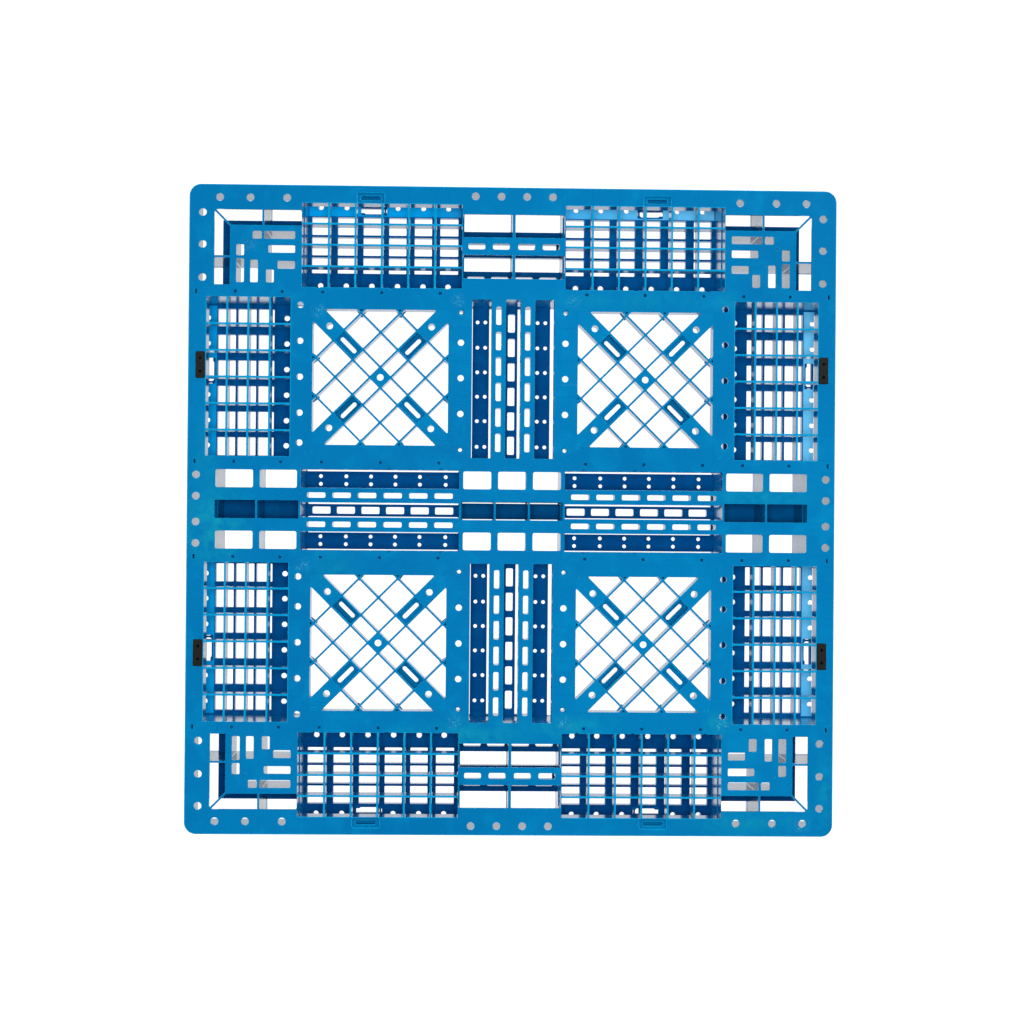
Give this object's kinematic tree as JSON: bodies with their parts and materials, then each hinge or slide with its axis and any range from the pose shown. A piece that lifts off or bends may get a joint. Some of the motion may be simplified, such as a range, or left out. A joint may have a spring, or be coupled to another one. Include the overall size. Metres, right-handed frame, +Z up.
{
  "type": "plastic pallet",
  "caption": "Square four-way entry plastic pallet with a grid deck, hollow legs, a perimeter base with a cross runner, steel reinforcement tubes and rubber anti-slip inserts.",
  "frame": {"origin": "middle of the footprint, on the surface that the base stands on", "axes": "+Z up; X along the steel reinforcement tubes; Y across them"},
  "size_m": [1.1, 1.1, 0.151],
  "materials": {
    "deck_plastic": "satin moulded polyolefin",
    "base_plastic": "satin moulded polyolefin",
    "tube_steel": "galvanised",
    "plug_plastic": "satin moulded polyolefin",
    "insert_rubber": "matte black rubber"
  },
  "bodies": {
    "root": {"deck": "deck_plastic", "base_frame": "base_plastic", "reinforcement_tube_1": "tube_steel", "reinforcement_tube_2": "tube_steel", "reinforcement_tube_3": "tube_steel", "reinforcement_tube_4": "tube_steel", "tube_end_plug_right_1": "plug_plastic", "tube_end_plug_left_1": "plug_plastic", "tube_end_plug_right_2": "plug_plastic", "tube_end_plug_left_2": "plug_plastic", "tube_end_plug_right_3": "plug_plastic", "tube_end_plug_left_3": "plug_plastic", "tube_end_plug_right_4": "plug_plastic", "tube_end_plug_left_4": "plug_plastic", "rubber_insert_right_back": "insert_rubber", "rubber_insert_left_back": "insert_rubber", "rubber_insert_left_front": "insert_rubber", "rubber_insert_right_front": "insert_rubber"}
  },
  "joints": []
}
